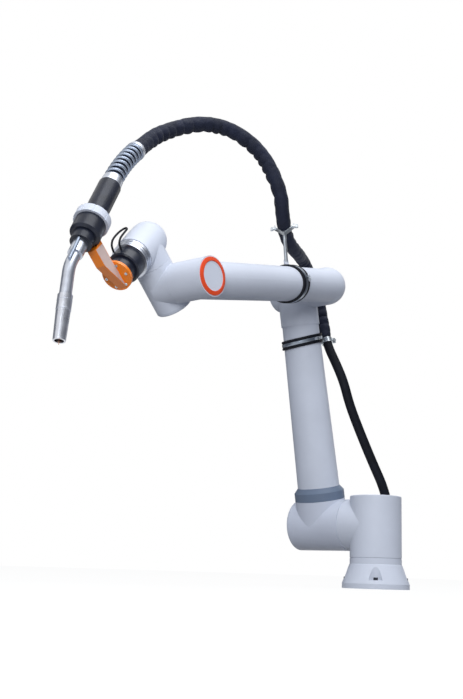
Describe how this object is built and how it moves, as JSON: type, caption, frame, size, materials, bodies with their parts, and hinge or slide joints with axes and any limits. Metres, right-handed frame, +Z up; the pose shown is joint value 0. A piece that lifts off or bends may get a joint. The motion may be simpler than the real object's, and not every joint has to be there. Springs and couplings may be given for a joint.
{
  "type": "industrial robot arm",
  "caption": "Six-axis jointed robot arm with round white housings, carrying a welding torch whose sleeved lead loops over the wrist and runs down behind the elbow.",
  "frame": {"origin": "centre of the foot's underside", "axes": "+Z up along the first joint's axis, +X the way the arm reaches, +Y to the left seen from behind"},
  "size_m": [1.2995, 0.357, 1.2379],
  "materials": {
    "white_paint": "satin powder coat",
    "grey_paint": "satin powder coat",
    "grey_cap": "fine grained moulding",
    "orange_trim": "satin",
    "orange_metal": "gloss coat",
    "bare_steel": "turned",
    "black_plastic": "moulded",
    "nozzle_chrome": "plated",
    "copper_tip": "worn",
    "sleeve_fabric": "coated cloth",
    "lead_rubber": "smooth",
    "zinc_steel": "zinc plated"
  },
  "bodies": {
    "base": {"base_foot": "white_paint", "lead_plug": "black_plastic", "lead_foot": "lead_rubber"},
    "shoulder": {"shoulder_body": "white_paint", "shoulder_lid": "white_paint", "lead_drop": "lead_rubber"},
    "upper_arm": {"upper_arm_hub": "grey_paint", "hub_cap": "grey_cap", "arm_collar": "grey_paint", "upper_arm_tube": "white_paint", "elbow_housing": "white_paint", "elbow_cap": "grey_cap", "arm_clamp_liner": "lead_rubber", "arm_clamp_band": "zinc_steel", "lead_clip": "zinc_steel", "clip_bolts": "zinc_steel"},
    "forearm": {"elbow_body": "white_paint", "forearm_tube": "white_paint", "wrist_housing": "white_paint", "accent_ring": "orange_trim", "end_disc": "white_paint", "forearm_clamp_liner": "lead_rubber", "forearm_clamp_band": "zinc_steel", "cradle_stem": "zinc_steel", "cradle_fork": "zinc_steel", "cradle_screws": "zinc_steel", "sleeve_over": "sleeve_fabric", "sleeve_loop": "sleeve_fabric"},
    "wrist1": {"wrist1_body": "white_paint", "wrist1_cap": "grey_cap"},
    "wrist2": {"wrist2_body": "white_paint"},
    "tool": {"flange_ring": "bare_steel", "sensor_unit": "black_plastic", "torch_bracket": "orange_metal", "torch_socket": "black_plastic", "socket_nut": "bare_steel", "mount_ring": "white_paint", "torch_grip": "black_plastic", "grip_ferrule": "bare_steel", "neck_block": "bare_steel", "torch_neck": "bare_steel", "gas_nozzle": "nozzle_chrome", "contact_tip": "copper_tip", "bend_spring": "bare_steel", "sensor_lead": "lead_rubber"}
  },
  "joints": [
    {"name": "base_turn", "type": "hinge", "parent": "base", "child": "shoulder", "pos_m": [0, 0, 0.085], "axis": [0, 0, 1], "range_deg": [-175, 175], "deforming": ["lead_foot", "lead_drop"]},
    {"name": "shoulder_lean", "type": "hinge", "parent": "shoulder", "child": "upper_arm", "pos_m": [0, -0.18, 0.178], "axis": [0, 1, 0], "range_deg": [-102.9, 77.1], "deforming": ["lead_drop", "sleeve_over"]},
    {"name": "elbow_bend", "type": "hinge", "parent": "upper_arm", "child": "forearm", "pos_m": [0.15628, -0.18, 0.86033], "axis": [0, -1, 0], "range_deg": [-60.7, 219.3], "deforming": ["sleeve_over", "sleeve_loop"]},
    {"name": "wrist_pitch", "type": "hinge", "parent": "forearm", "child": "wrist1", "pos_m": [0.7525, -0.065, 0.73142], "axis": [0, -1, 0], "range_deg": [-140, 130], "deforming": ["sleeve_loop"]},
    {"name": "wrist_yaw", "type": "hinge", "parent": "wrist1", "child": "wrist2", "pos_m": [0.7525, -0.169, 0.73142], "axis": [0.7145, 0, 0.6997], "range_deg": [-175, 175], "deforming": ["sleeve_loop"]},
    {"name": "tool_roll", "type": "hinge", "parent": "wrist2", "child": "tool", "pos_m": [0.83466, -0.169, 0.81189], "axis": [-0.6929, -0.1392, 0.7075], "range_deg": [-90, 90], "deforming": ["sleeve_loop"]}
  ]
}
